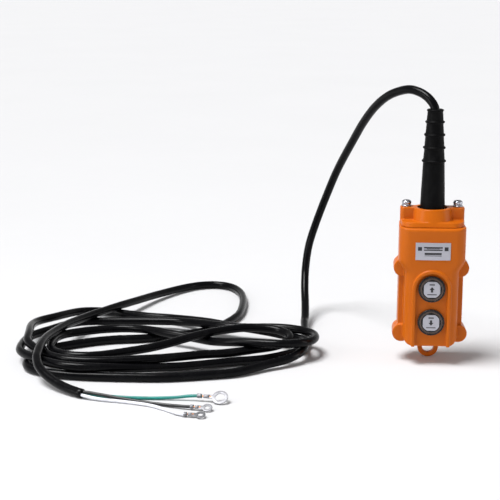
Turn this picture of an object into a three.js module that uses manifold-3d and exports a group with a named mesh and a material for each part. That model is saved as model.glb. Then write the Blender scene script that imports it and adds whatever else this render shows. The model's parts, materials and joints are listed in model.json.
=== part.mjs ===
// Hoist pendant control: a two-button hand station in a moulded housing with a hanging eye below,
// a screwed cable cap and a ribbed rubber boot above, and its control cord in a loose coil that
// ends in three leads with ring terminals.
// Millimetres, +Z up, front towards -Y. The origin is on the surface under the middle of the
// hand station. The pieces are drawn about the axis of the cable boot, which lies AXIS_Y behind it.
import * as THREE from "three";
import { mergeVertices } from "three/addons/utils/BufferGeometryUtils.js";
import Module from "manifold-3d";

const wasm = await Module();
wasm.setup();

const AXIS_Y = 4.3;

// Clearances
const GAP = 0.3; // between neighbouring pieces
const SKIN_GAP = 0.1; // under a stuck-on plate or label

// Housing: front case, gasket and rear case meet at the parting plane
const TOP = 137.6;
const FOOT = 19;
const WALL = 3;
const FACE = -27; // front face
const BACK = 20; // rear face
const FRONT_END = -3.5; // rear edge of the front case
const REAR_START = -1.9; // front edge of the rear case
const UPPER_HALF = 32.3;
const LOWER_HALF = 26.4;
const SHOULDER_TOP = 105;
const SHOULDER_FOOT = 91;
const FLANGE_HALF = 31.6;
const FLANGE_FRONT = -11;
const FLANGE_CORNER = 12;

// Screw ears at the four corners of the flange
const EAR_X = 28;
const EAR_Z = [95.5, 29];
const EAR_RADIUS = 8.9;
const EAR_FRONT = -13.5;
const EAR_BACK = 8;
const BOSS_RADIUS = 7.4;

// Channel that guards the two buttons
const CHANNEL_HALF = 15.5;
const CHANNEL_FLOOR = -24.8;
const RIDGE_WIDTH = 3.4;
const RIDGE_FRONT = -28.6;

// Buttons: x = 0 on the channel floor
const BUTTONS = [
  { name: "up", z: 77.4 },
  { name: "down", z: 43.9 },
];
const TRAVEL = 4.5;
const CAVITY_FRONT = -22;

// Hanging eye
const EYE_Z = 10.4;
const EYE_RADIUS = 10.4;
const EYE_HOLE = 5.8;
const EYE_FRONT = 2;
const EYE_BACK = 8;

// Cable cap and its two screws
const CAP_BASE = 139.4;
const CAP_LEDGE = 142.6;
const CAP_TOP = 154.3;
const CAP_RADIUS = 18.2;
const CAP_HOLE = 14.5;
const CAP_SCREW_X = 25;
const CAP_SCREW_Y = 3;
const CAP_EAR = 6.3;
const CAP_EAR_FRONT = -6;
const COLLAR_RADIUS = 15.8;
const COLLAR_TOP = 142.4;

// Boot and cord
const BOOT_TOP = 250.4;
const CORD = 8.6; // outside diameter
const CORD_RADIUS = CORD / 2;
const CORD_END = 112; // where the jacket stops inside the housing
const WIRE = 2.9; // insulated conductor
const LEAD = 2.4; // conductor inside the housing

// Contact block behind the buttons
const BLOCK_HALF = 17;
const BLOCK_FRONT = -14;
const BLOCK_BACK = 8;
const BLOCK_TOP = 93.5;
const BLOCK_FOOT = 28;
const BLOCK_EAR = 7;
const BLOCK_SCREW_X = 11;
const STEM_RADIUS = 3.5;
const STEM_END = -5.1;
const PLATE_SCREW_X = 21;
const PLATE_FRONT = 2.2;

// Colours and finishes
const paint = (color, roughness, metalness = 0) =>
  new THREE.MeshStandardMaterial({ color, roughness, metalness });
const ORANGE = paint(0xd96a12, 0.45);
const RUBBER = paint(0x101012, 0.85);
const JACKET = paint(0x121216, 0.5);
const BLACK = paint(0x08080a, 0.4);
const ZINC = paint(0xc9ccd2, 0.3, 1);
const SILVER = paint(0xb9bac2, 0.4, 0.8);
const BRASS = paint(0xb58b3a, 0.35, 1);
const CREAM = paint(0xd8cfb4, 0.6);
const GREEN = paint(0x078c80, 0.5);
const WHITE = paint(0xe9ebf2, 0.5);

// A closed three.js geometry as a manifold-3d solid.
function solid(geometry) {
  const bare = geometry.clone();
  bare.deleteAttribute("normal");
  bare.deleteAttribute("uv");
  const merged = mergeVertices(bare, 1e-3);
  return new wasm.Manifold(
    new wasm.Mesh({
      numProp: 3,
      vertProperties: merged.attributes.position.array,
      triVerts: new Uint32Array(merged.index.array),
    }),
  );
}

// A manifold-3d solid as a geometry.
function geometryOf(shape) {
  const found = shape.getMesh();
  const geometry = new THREE.BufferGeometry();
  geometry.setAttribute("position", new THREE.BufferAttribute(found.vertProperties, 3));
  geometry.setIndex(new THREE.BufferAttribute(found.triVerts, 1));
  geometry.computeVertexNormals();
  return geometry;
}

const pendant = new THREE.Group();

function add(name, shape, material) {
  const geometry = shape.isBufferGeometry ? shape : geometryOf(shape);
  const mesh = new THREE.Mesh(geometry, material);
  mesh.name = name;
  pendant.add(mesh);
  return mesh;
}

const joined = (first, ...others) => others.reduce((sum, other) => sum.add(other), first);
const cut = (first, ...others) => others.reduce((rest, other) => rest.subtract(other), first);

// An outline in X and Z, extruded from y = front to y = back. The bevel rounds both end edges.
function alongY(outline, front, back, bevel = { size: 0, depth: 0, steps: 1 }, curveSegments = 6) {
  const geometry = new THREE.ExtrudeGeometry(outline, {
    depth: back - front - 2 * bevel.depth,
    curveSegments,
    bevelEnabled: bevel.size > 0,
    bevelSize: bevel.size,
    bevelThickness: bevel.depth,
    bevelOffset: -bevel.size,
    bevelSegments: bevel.steps,
  });
  geometry.rotateX(Math.PI / 2);
  geometry.translate(0, back - bevel.depth, 0);
  return solid(geometry);
}

// An outline in X and Y, extruded from z = foot to z = top.
function alongZ(outline, foot, top, bevel = { size: 0, depth: 0, steps: 1 }, curveSegments = 6) {
  const geometry = new THREE.ExtrudeGeometry(outline, {
    depth: top - foot - 2 * bevel.depth,
    curveSegments,
    bevelEnabled: bevel.size > 0,
    bevelSize: bevel.size,
    bevelThickness: bevel.depth,
    bevelOffset: -bevel.size,
    bevelSegments: bevel.steps,
  });
  geometry.translate(0, 0, foot + bevel.depth);
  return solid(geometry);
}

function box(low, high) {
  const size = high.map((value, i) => value - low[i]);
  const geometry = new THREE.BoxGeometry(...size);
  geometry.translate(...low.map((value, i) => value + size[i] / 2));
  return solid(geometry);
}

// A straight round bar from one height to another, about a line along Y or Z.
function barY(radius, front, back, x, z, sides = 16) {
  const geometry = new THREE.CylinderGeometry(radius, radius, back - front, sides);
  geometry.translate(x, (front + back) / 2, z);
  return solid(geometry);
}

function barZ(radius, foot, top, x, y, sides = 16) {
  const geometry = new THREE.CylinderGeometry(radius, radius, top - foot, sides);
  geometry.rotateX(Math.PI / 2);
  geometry.translate(x, y, (foot + top) / 2);
  return solid(geometry);
}

// A profile of [radius, height] points turned about the Y axis, with its faces out.
function turned(profile, sides) {
  const doubleArea = profile.reduce((sum, [r, h], i) => {
    const [r2, h2] = profile[(i + 1) % profile.length];
    return sum + r * h2 - r2 * h;
  }, 0);
  const ordered = doubleArea > 0 ? profile : [...profile].reverse();
  return new THREE.LatheGeometry(ordered.map(([r, h]) => new THREE.Vector2(r, h)), sides);
}

function turnedRing(profile, sides) {
  return turned([...profile, profile[0]], sides);
}

// The same profile turned about a line along Z.
function turnedZ(geometry, x, y) {
  geometry.rotateX(Math.PI / 2);
  geometry.translate(x, y, 0);
  return geometry;
}

function circle(radius, sides) {
  const points = [];
  for (let i = 0; i < sides; i += 1) {
    const angle = (2 * Math.PI * i) / sides;
    points.push(new THREE.Vector2(radius * Math.cos(angle), radius * Math.sin(angle)));
  }
  return new THREE.Shape(points);
}

// A round tube through the given points.
function tube(points, diameter, sides, steps) {
  const path = new THREE.CatmullRomCurve3(
    points.map((point) => new THREE.Vector3(...point)),
    false,
    "centripetal",
  );
  return new THREE.ExtrudeGeometry(circle(diameter / 2, sides), { steps, extrudePath: path });
}

// A rectangle with its own corner radii at the low and the high end of its second axis.
function roundedRectangle(half, low, high, lowRadius, highRadius) {
  const shape = new THREE.Shape();
  shape.moveTo(-half + lowRadius, low);
  shape.lineTo(half - lowRadius, low);
  shape.absarc(half - lowRadius, low + lowRadius, lowRadius, -Math.PI / 2, 0);
  shape.lineTo(half, high - highRadius);
  shape.absarc(half - highRadius, high - highRadius, highRadius, 0, Math.PI / 2);
  shape.lineTo(-half + highRadius, high);
  shape.absarc(-half + highRadius, high - highRadius, highRadius, Math.PI / 2, Math.PI);
  shape.lineTo(-half, low + lowRadius);
  shape.absarc(-half + lowRadius, low + lowRadius, lowRadius, Math.PI, 1.5 * Math.PI);
  return shape;
}

// Front outline of the raised part of the front case: wide above the shoulders, narrow below.
function bulgeOutline(inset, foot, top, corner) {
  const lower = LOWER_HALF - inset;
  const upper = UPPER_HALF - inset;
  const ease = 5;
  const shape = new THREE.Shape();
  shape.moveTo(-lower + corner, foot);
  shape.lineTo(lower - corner, foot);
  shape.absarc(lower - corner, foot + corner, corner, -Math.PI / 2, 0);
  shape.lineTo(lower, SHOULDER_FOOT);
  shape.bezierCurveTo(lower, SHOULDER_FOOT + ease, upper, SHOULDER_TOP - ease, upper, SHOULDER_TOP);
  shape.lineTo(upper, top);
  shape.lineTo(-upper, top);
  shape.lineTo(-upper, SHOULDER_TOP);
  shape.bezierCurveTo(
    -upper, SHOULDER_TOP - ease, -lower, SHOULDER_FOOT + ease, -lower, SHOULDER_FOOT);
  shape.lineTo(-lower, foot + corner);
  shape.absarc(-lower + corner, foot + corner, corner, Math.PI, 1.5 * Math.PI);
  return shape;
}

// Ear positions, left and right at both heights.
const EARS = EAR_Z.flatMap((z) => [-EAR_X, EAR_X].map((x) => ({ x, z })));

// The room inside the flange, less the bosses that hold the cover screws.
function flangeRoom(front, back, bevel) {
  const outline = roundedRectangle(
    FLANGE_HALF - WALL, FOOT + WALL, TOP - WALL, FLANGE_CORNER - WALL, 7);
  return cut(
    alongY(outline, front, back, bevel),
    ...EARS.map(({ x, z }) => barY(BOSS_RADIUS, front - 1, back + 1, x, z, 20)),
  );
}

function frontCase() {
  const overrun = 14;
  const rounded = alongY(
    bulgeOutline(0, FOOT - overrun, TOP + overrun, 12), FACE, 12, { size: 10, depth: 9, steps: 3 });
  const raised = rounded.intersect(
    alongY(bulgeOutline(0, FOOT + 0.5, TOP, 8), FACE - 1, FRONT_END));
  const flange = alongY(
    roundedRectangle(FLANGE_HALF, FOOT, TOP, FLANGE_CORNER, 0.5), FLANGE_FRONT, FRONT_END);
  const ears = EARS.map(({ x, z }) => barY(EAR_RADIUS, EAR_FRONT, FRONT_END, x, z, 24));
  const arch = channelOutline(CHANNEL_HALF + RIDGE_WIDTH, FOOT);
  const channel = channelOutline(CHANNEL_HALF, FOOT - 2);
  const ridge = alongY(arch, RIDGE_FRONT, FLANGE_FRONT, { size: 0.7, depth: 0.7, steps: 1 }, 10);
  const outside = joined(raised, flange, ...ears, ridge);
  const room = alongY(
    bulgeOutline(WALL, FOOT + WALL, TOP - WALL, 8), CAVITY_FRONT, 6,
    { size: 7, depth: 7, steps: 3 });
  const bosses = EARS.map(({ x, z }) => barY(BOSS_RADIUS, EAR_FRONT, 7, x, z, 20));
  const posts = [-BLOCK_SCREW_X, BLOCK_SCREW_X].map((x) =>
    barY(3.6, CAVITY_FRONT - 1, BLOCK_FRONT - GAP, x, BLOCK_TOP + BLOCK_EAR / 2));
  const inside = cut(joined(room, flangeRoom(FLANGE_FRONT + 2.5, 6)), ...bosses, ...posts);
  return cut(
    outside,
    alongY(channel, RIDGE_FRONT - 1, CHANNEL_FLOOR, undefined, 10),
    inside,
    ...BUTTONS.map(({ z }) => barY(11.6, FACE - 1, CAVITY_FRONT + 1, 0, z, 32)),
    ...EARS.map(({ x, z }) => barY(2.3, EAR_FRONT + 2, 0, x, z, 12)),
    ...[-BLOCK_SCREW_X, BLOCK_SCREW_X].map((x) =>
      barY(1.8, CAVITY_FRONT, 0, x, BLOCK_TOP + BLOCK_EAR / 2, 10)),
    barZ(9, TOP - WALL - 1, TOP + 1, 0, 0, 20),
    box([-50, FRONT_END, 0], [50, 30, 200]),
  );
}

// The guarded channel: straight sides and a round top about the upper button.
function channelOutline(half, foot) {
  const shape = new THREE.Shape();
  const centre = BUTTONS[0].z;
  shape.moveTo(-half, foot);
  shape.lineTo(half, foot);
  shape.lineTo(half, centre);
  shape.absarc(0, centre, half, 0, Math.PI);
  return shape;
}

function eyeOutline(radius, top) {
  const shape = new THREE.Shape();
  shape.moveTo(radius, EYE_Z);
  shape.lineTo(radius, top);
  shape.lineTo(-radius, top);
  shape.lineTo(-radius, EYE_Z);
  shape.absarc(0, EYE_Z, radius, Math.PI, 2 * Math.PI);
  return shape;
}

function rearCase() {
  const overrun = 12;
  const rounded = alongY(
    roundedRectangle(FLANGE_HALF, FOOT, TOP + overrun, FLANGE_CORNER, 10), -20, BACK,
    { size: 9, depth: 9, steps: 3 });
  const plate = alongY(
    roundedRectangle(FLANGE_HALF, FOOT, TOP, FLANGE_CORNER, 0.5), REAR_START, BACK + 1);
  const ears = EARS.map(({ x, z }) => barY(EAR_RADIUS - 0.4, REAR_START, EAR_BACK, x, z, 24));
  const eye = cut(
    alongY(eyeOutline(EYE_RADIUS, FOOT + 4), EYE_FRONT, EYE_BACK,
      { size: 0.8, depth: 0.8, steps: 1 }, 10),
    barY(EYE_HOLE, EYE_FRONT - 1, EYE_BACK + 1, 0, EYE_Z, 24),
  );
  const outside = joined(rounded.intersect(plate), ...ears, eye);
  const capBosses = [-CAP_SCREW_X, CAP_SCREW_X].map((x) =>
    box([x - 4.8, CAP_SCREW_Y - 4.6, 112], [x + 4.8, CAP_SCREW_Y + 15, TOP]));
  const seat = box([-14.5, 0.6, 117.5], [14.5, 18, 124.5]);
  const earthPost = barY(4, 12, 18, 16, 104);
  const inside = cut(
    flangeRoom(-10, BACK - WALL, { size: 6, depth: 6, steps: 3 }),
    ...capBosses, seat, earthPost,
  );
  return cut(
    outside,
    inside,
    ...EARS.map(({ x, z }) => barY(4.6, EAR_BACK, BACK + 1, x, z, 16)),
    ...EARS.map(({ x, z }) => barY(2.3, REAR_START - 1, EAR_BACK + 1, x, z, 12)),
    ...[-CAP_SCREW_X, CAP_SCREW_X].map((x) => barZ(2.8, 119, TOP + 1, x, CAP_SCREW_Y, 12)),
    barZ(9, TOP - WALL - 1, TOP + 1, 0, 0, 20),
    barZ(CORD_RADIUS + GAP, 117, 125, 0, 0, 20),
    ...[-10.5, 10.5].map((x) => barY(1.8, 0, 12, x, 121, 10)),
    barY(1.8, 11, 16, 16, 104, 10),
  );
}

function caseGasket() {
  const front = FRONT_END + GAP;
  const back = REAR_START - GAP;
  const plate = alongY(
    roundedRectangle(FLANGE_HALF - 0.7, FOOT + 0.7, TOP - 0.5, FLANGE_CORNER - 1, 0.5), front, back);
  const ears = EARS.map(({ x, z }) => barY(EAR_RADIUS - 0.9, front, back, x, z, 20));
  return cut(
    joined(plate, ...ears),
    flangeRoom(front - 1, back + 1),
    ...EARS.map(({ x, z }) => barY(2.5, front - 1, back + 1, x, z, 12)),
    barZ(9, TOP - WALL - 1, TOP + 1, 0, 0, 20),
  );
}

function cableCap() {
  const base = alongZ(
    roundedRectangle(30.8, -23.5, 17, 13, 9), CAP_BASE, CAP_LEDGE,
    { size: 0.8, depth: 0.8, steps: 1 });
  const ears = alongZ(
    roundedRectangle(CAP_SCREW_X + CAP_EAR, CAP_EAR_FRONT, CAP_SCREW_Y + CAP_EAR, 4, CAP_EAR - 0.1),
    CAP_BASE, CAP_TOP, { size: 0.6, depth: 0.6, steps: 1 });
  const flare = [
    [0, CAP_BASE + 1], [22.9, CAP_BASE + 1], [22.9, CAP_BASE + 1.6], [CAP_RADIUS + 0.4, CAP_TOP - 0.8],
    [CAP_RADIUS - 0.6, CAP_TOP], [0, CAP_TOP],
  ];
  const tower = solid(turnedZ(turned(flare, 32), 0, 0)).intersect(
    alongZ(roundedRectangle(30, -23, 16.5, 12, 8), CAP_BASE, CAP_TOP + 1));
  return cut(
    joined(base, ears, tower),
    barZ(CAP_HOLE, CAP_BASE - 1, CAP_TOP + 1, 0, 0, 28),
    barZ(COLLAR_RADIUS + GAP, CAP_BASE - 1, COLLAR_TOP + GAP, 0, 0, 28),
    ...[-CAP_SCREW_X, CAP_SCREW_X].map((x) =>
      barZ(2.8, CAP_BASE - 1, CAP_TOP + 1, x, CAP_SCREW_Y, 12)),
  );
}

function capGasket() {
  return cut(
    alongZ(roundedRectangle(30.4, -23.1, 16.6, 12.6, 8.6), TOP + GAP, CAP_BASE - GAP),
    barZ(COLLAR_RADIUS + GAP, TOP, CAP_BASE, 0, 0, 28),
    ...[-CAP_SCREW_X, CAP_SCREW_X].map((x) => barZ(2.8, TOP, CAP_BASE, x, CAP_SCREW_Y, 12)),
  );
}

// The boot: a collar under the cap, a smooth taper, four ribs and a top lip.
function cableBoot() {
  const bore = CORD_RADIUS + GAP;
  const ribs = [
    [200, 10.4], [213, 9.6], [225.5, 8.9], [238, 8.1],
  ];
  const stand = 1.2;
  const profile = [
    [bore, TOP + GAP], [COLLAR_RADIUS, TOP + GAP], [COLLAR_RADIUS, COLLAR_TOP],
    [12.3, COLLAR_TOP], [12.1, 155],
  ];
  ribs.forEach(([z, radius]) => {
    profile.push([radius + 0.1, z - 1.5], [radius + stand, z - 0.5]);
    profile.push([radius + stand, z + 0.5], [radius, z + 1.3]);
  });
  profile.push([7.5, 248], [8.3, 249], [8.3, 250], [8, BOOT_TOP], [bore, BOOT_TOP]);
  return turnedZ(turnedRing(profile, 24), 0, 0);
}

// Pan-head screw along Y: head towards the front at y = seat, shank behind it, or the reverse.
function panScrew(headRadius, headHeight, shankRadius, length, sides, slotted) {
  const profile = [
    [0, -length], [shankRadius, -length], [shankRadius, 0], [headRadius, 0],
    [headRadius, headHeight * 0.45], [headRadius * 0.72, headHeight * 0.9], [0, headHeight],
  ];
  const body = solid(turned(profile, sides));
  if (!slotted) return body;
  const slot = headRadius * 0.62;
  const depth = headHeight * 0.45;
  return cut(
    body,
    box([-slot, depth, -0.5], [slot, headHeight + 1, 0.5]),
    box([-0.5, depth, -slot], [0.5, headHeight + 1, slot]),
  );
}

function screw(name, turn, place, sizes, material = ZINC) {
  const mesh = add(name, panScrew(...sizes), material);
  mesh.rotation.set(...turn);
  mesh.position.set(...place);
}

const HEAD_UP = [Math.PI / 2, 0, 0];
const HEAD_BACK = [0, 0, 0];
const HEAD_FRONT = [Math.PI, 0, 0];

function ring(inner, outer, thickness, sides) {
  return turnedRing([[inner, 0], [outer, 0], [outer, thickness], [inner, thickness]], sides);
}

function buildHousing() {
  add("front_case", frontCase(), ORANGE);
  add("rear_case", rearCase(), ORANGE);
  add("case_gasket", caseGasket(), RUBBER);
  EARS.forEach(({ x, z }) => {
    const name = `cover_screw_${z > 60 ? "upper" : "lower"}_${x < 0 ? "left" : "right"}`;
    screw(name, HEAD_BACK, [x, EAR_BACK + GAP, z], [3.7, 2.6, 1.9, 18, 12, true]);
  });
  const plate = box(
    [-16.9, FACE - SKIN_GAP - 0.5, 106.7], [16.9, FACE - SKIN_GAP, 123.9]);
  add("name_plate", plate, SILVER);
}

function buildCap() {
  add("cable_cap", cableCap(), ORANGE);
  add("cap_gasket", capGasket(), RUBBER);
  [-1, 1].forEach((side) => {
    const label = side < 0 ? "left" : "right";
    const x = side * CAP_SCREW_X;
    const flat = CAP_TOP + GAP;
    const lock = flat + 0.9 + GAP;
    const head = lock + 1.3 + GAP;
    add(`cap_washer_${label}`,
      turnedZ(ring(2.8, 4.9, 0.9, 20), 0, 0).translate(x, CAP_SCREW_Y, flat), ZINC);
    const coil = cut(
      solid(turnedZ(ring(2.8, 4.4, 1.3, 20), 0, 0)),
      box([2, -0.4, -1], [6, 0.4, 3]),
    );
    add(`cap_lock_washer_${label}`, coil, ZINC).position.set(x, CAP_SCREW_Y, lock);
    screw(`cap_screw_${label}`, HEAD_UP, [x, CAP_SCREW_Y, head], [4.7, 3.3, 2.4, 36, 16, true]);
  });
  add("cable_boot", cableBoot(), RUBBER);
}

function cordClamp() {
  return cut(
    box([-14, -8.4, 118], [14, -0.6, 124]),
    barZ(CORD_RADIUS + GAP, 117, 125, 0, 0, 20),
    ...[-10.5, 10.5].map((x) => barY(1.8, -10, 1, x, 121, 10)),
  );
}

function buildCordEntry() {
  const held = new THREE.CylinderGeometry(CORD_RADIUS, CORD_RADIUS, BOOT_TOP - GAP - CORD_END, 16);
  held.rotateX(Math.PI / 2);
  held.translate(0, 0, (BOOT_TOP - GAP + CORD_END) / 2);
  add("cord_in_boot", held, JACKET);
  add("cord_clamp", cordClamp(), CREAM);
  [-1, 1].forEach((side) => {
    const label = side < 0 ? "left" : "right";
    screw(`clamp_screw_${label}`, HEAD_FRONT, [side * 10.5, -8.4 - GAP, 121],
      [2.9, 2, 1.5, 17, 10, true]);
  });
}

// Everything of one push button, on the line x = 0, z = centre.
function buildButton({ name, z }) {
  const bezel = [
    [10, -17.6], [11.3, -17.6], [11.3, -25.1], [13.1, -25.1], [13.1, -27.4], [12.6, -27.9],
    [11.6, -27.9], [11.6, -26.1], [10, -26.1],
  ];
  add(`${name}_bezel`, turnedRing(bezel, 28), BLACK).position.z = z;
  const spanner = 1.6;
  const lockRing = cut(
    solid(turnedRing([[9.8, -28], [11.3, -28], [11.3, -26.4], [9.8, -26.4]], 28)),
    box([-spanner, -29, 9], [spanner, -27, 10.6]),
    box([-spanner, -29, -10.6], [spanner, -27, -9]),
  );
  add(`${name}_lock_ring`, lockRing, ZINC).position.z = z;
  const nut = cut(
    alongY(circle(16, 6), CAVITY_FRONT + GAP, CAVITY_FRONT + GAP + 3),
    barY(11.6, CAVITY_FRONT - 1, CAVITY_FRONT + 5, 0, 0, 28),
  );
  add(`${name}_ring_nut`, nut, CREAM).position.z = z;
  const plunger = [
    [0, -28.6], [8.9, -28.6], [9.4, -28.1], [9.4, -24.4], [STEM_RADIUS, -24.4],
    [STEM_RADIUS, STEM_END], [0, STEM_END],
  ];
  const recess = alongY(labelOutline(GAP), -29.6, -27.9, undefined, 6);
  add(`${name}_button`, cut(solid(turned(plunger, 24)), recess), BLACK).position.z = z;
  const label = alongY(labelOutline(0), -28.4, -27.9 - SKIN_GAP, undefined, 6);
  add(`${name}_label`, label, SILVER).position.z = z;
  add(`${name}_spring`, springCoil(), ZINC).position.z = z;
  add(`${name}_contact_bridge`, contactBridge(), BRASS).position.z = z;
  [-1, 1].forEach((side) => {
    const place = side < 0 ? "left" : "right";
    add(`${name}_terminal_${place}`, terminalPlate(side), BRASS).position.z = z;
    screw(`${name}_terminal_screw_${place}`, HEAD_FRONT,
      [side * PLATE_SCREW_X, PLATE_FRONT - GAP, z], [2.6, 1.8, 1.3, 5, 10, false]);
  });
}

// A round label with flats at its top, bottom and sides.
function labelOutline(extra) {
  const flat = 8 + extra;
  const reach = Math.acos(flat / (8.8 + extra));
  const shape = new THREE.Shape();
  for (let quarter = 0; quarter < 4; quarter += 1) {
    const start = (quarter * Math.PI) / 2 + reach;
    shape.absarc(0, 0, 8.8 + extra, start, start + Math.PI / 2 - 2 * reach);
  }
  return shape;
}

// Return spring round the stem, between the button's head and the contact block.
function springCoil() {
  const turns = 4;
  const radius = 5.6;
  const wire = 1;
  const first = -24.4 + GAP + wire / 2;
  const last = BLOCK_FRONT - GAP - wire / 2;
  const points = [];
  const perTurn = 10;
  for (let i = 0; i <= turns * perTurn; i += 1) {
    const angle = (2 * Math.PI * i) / perTurn;
    const share = i / (turns * perTurn);
    points.push([
      radius * Math.cos(angle), first + share * (last - first), radius * Math.sin(angle)]);
  }
  return tube(points, wire, 5, turns * perTurn);
}

// Moving contact: a bar with a rounded tip at each end, carried by the stem.
function contactBridge() {
  const front = STEM_END + GAP;
  return joined(
    box([-11.5, front, -3], [11.5, front + 1.2, 3]),
    ...[-10, 10].map((x) => barY(1.6, front + 1, front + 2, x, 0, 10)),
  );
}

function terminalPlate(side) {
  const ends = [side * 7, side * 25].sort((a, b) => a - b);
  return cut(
    box([ends[0], PLATE_FRONT, -3], [ends[1], PLATE_FRONT + 1, 3]),
    barY(1.6, PLATE_FRONT - 1, PLATE_FRONT + 2, side * PLATE_SCREW_X, 0, 10),
  );
}

// One moulding for both buttons: stem guides in front, a slot for each moving contact.
function contactBlock() {
  const ear = box(
    [-BLOCK_HALF + 1, BLOCK_FRONT, BLOCK_TOP - 1],
    [BLOCK_HALF - 1, BLOCK_FRONT + 3, BLOCK_TOP + BLOCK_EAR]);
  const body = box([-BLOCK_HALF, BLOCK_FRONT, BLOCK_FOOT], [BLOCK_HALF, BLOCK_BACK, BLOCK_TOP]);
  return cut(
    joined(body, ear),
    ...BUTTONS.map(({ z }) => barY(STEM_RADIUS + GAP, BLOCK_FRONT - 1, 0, 0, z, 20)),
    ...BUTTONS.map(({ z }) =>
      box([-BLOCK_HALF - 1, -7, z - 4], [BLOCK_HALF + 1, PLATE_FRONT + 1 + GAP, z + 4])),
    ...[-BLOCK_SCREW_X, BLOCK_SCREW_X].map((x) =>
      barY(1.8, BLOCK_FRONT - 1, BLOCK_FRONT + 4, x, BLOCK_TOP + BLOCK_EAR / 2, 10)),
  );
}

function buildContacts() {
  add("contact_block", contactBlock(), CREAM);
  [-1, 1].forEach((side) => {
    const label = side < 0 ? "left" : "right";
    screw(`block_screw_${label}`, HEAD_BACK,
      [side * BLOCK_SCREW_X, BLOCK_FRONT + 3 + GAP, BLOCK_TOP + BLOCK_EAR / 2],
      [2.8, 1.8, 1.5, 9, 10, false]);
  });
  screw("earth_screw", HEAD_FRONT, [16, 12 - GAP, 104], [3, 2, 1.5, 3.4, 10, false]);
}

// Three conductors from the jacket's end inside the housing to their terminals.
function buildLeads() {
  const start = CORD_END - 1.4;
  const black = [
    [-2.6, 0, start], [-5, 5, 105], [-12, 11.5, 97], [-19.5, 13, 88], [-21.5, 11.5, 81],
    [-21, 8.5, 77.4],
  ];
  const white = [
    [2.6, 0, start], [5, 5, 105], [11, 11.5, 96], [17, 13, 85], [21, 13.3, 68], [21.8, 12.5, 52],
    [21, 8.5, 43.9],
  ];
  const green = [
    [0, 2.4, start], [0.5, 7, 106.5], [5, 9.5, 103.5], [12, 9.6, 104],
  ];
  add("lead_black", tube(black, LEAD, 6, 14), BLACK);
  add("lead_white", tube(white, LEAD, 6, 18), WHITE);
  add("lead_green", tube(green, LEAD, 6, 8), GREEN);
}

// Free cord: over the top of the boot, back and down to the surface.
const DROP = [
  [-1.2, 0.9, 253.2], [-3.2, 2.4, 256.4], [-7.5, 6.5, 261], [-15, 13.5, 265.2], [-26, 24, 266.5],
  [-42, 44, 259], [-55, 64, 245.5], [-66, 86, 227], [-76, 108, 205], [-92, 140, 168],
  [-104, 158, 135], [-115, 168, 103], [-123, 170, 76], [-126.5, 163, 52], [-127, 147, 34],
  [-126, 127, 20], [-125.5, 108, 11.5], [-126, 94.5, 7.4],
];

// Free cord: from the coil's back edge round the wide loop, over the coil and down to its end.
const TAIL = [
  [-199.5, 127, 4.5], [-198, 150, 4.5], [-198, 175, 4.5], [-199.5, 200, 4.5], [-205, 228, 4.5],
  [-217, 251, 4.5], [-237, 260.5, 4.5], [-260, 253, 4.5], [-279, 233, 5.5], [-294, 210, 8],
  [-306, 187, 12], [-317, 160, 18], [-330, 131, 23], [-343, 105, 23.4], [-358, 75, 23.4],
  [-368, 48, 23.4], [-375, 18, 23.4], [-380, -12, 23.4], [-382, -42, 23.4], [-381, -68, 23.4],
  [-379, -86, 21.5], [-374, -101, 17.5], [-365, -113, 12.5], [-353, -124, 8], [-339, -134.5, 5.6],
  [-324, -144, 4.5],
];

// The coil's outer shape: loose oval turns, two deep, round an oval opening.
const COIL_HEIGHT = 18;

function coilSolid() {
  const outline = ovalOutline(-418, -106, -98, 122, 100);
  outline.holes.push(ovalOutline(-345, -190, -34, 18, 25));
  return new THREE.ExtrudeGeometry(outline, {
    depth: COIL_HEIGHT, bevelEnabled: false, curveSegments: 8 });
}

function ovalOutline(left, right, front, back, corner) {
  const middle = (left + right) / 2;
  const half = (right - left) / 2;
  const points = roundedRectangle(half, front, back, corner, corner).getPoints(8);
  return new THREE.Shape(points.map((point) => new THREE.Vector2(point.x + middle, point.y)));
}

// A crimped ring terminal along +X: barrel, neck and ring.
function ringTerminal({ barrel, neck, ringRadius, holeRadius }) {
  const sheet = 0.9;
  const outer = 2.4;
  const centre = barrel + neck + ringRadius;
  const outline = new THREE.Shape();
  const spread = Math.asin(2 / ringRadius);
  outline.moveTo(barrel - 2, -2);
  outline.lineTo(centre - ringRadius * Math.cos(spread), -2);
  outline.absarc(centre, 0, ringRadius, Math.PI + spread, 3 * Math.PI - spread);
  outline.lineTo(barrel - 2, 2);
  const hole = new THREE.Path();
  hole.absarc(centre, 0, holeRadius, 0, 2 * Math.PI);
  outline.holes.push(hole);
  const tongue = new THREE.ExtrudeGeometry(outline, {
    depth: sheet, bevelEnabled: false, curveSegments: 10 });
  tongue.translate(0, 0, -sheet / 2);
  const crimp = new THREE.CylinderGeometry(outer, outer, barrel, 14);
  crimp.rotateZ(Math.PI / 2);
  crimp.translate(barrel / 2, 0, 0);
  return joined(solid(tongue), solid(crimp));
}

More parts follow.
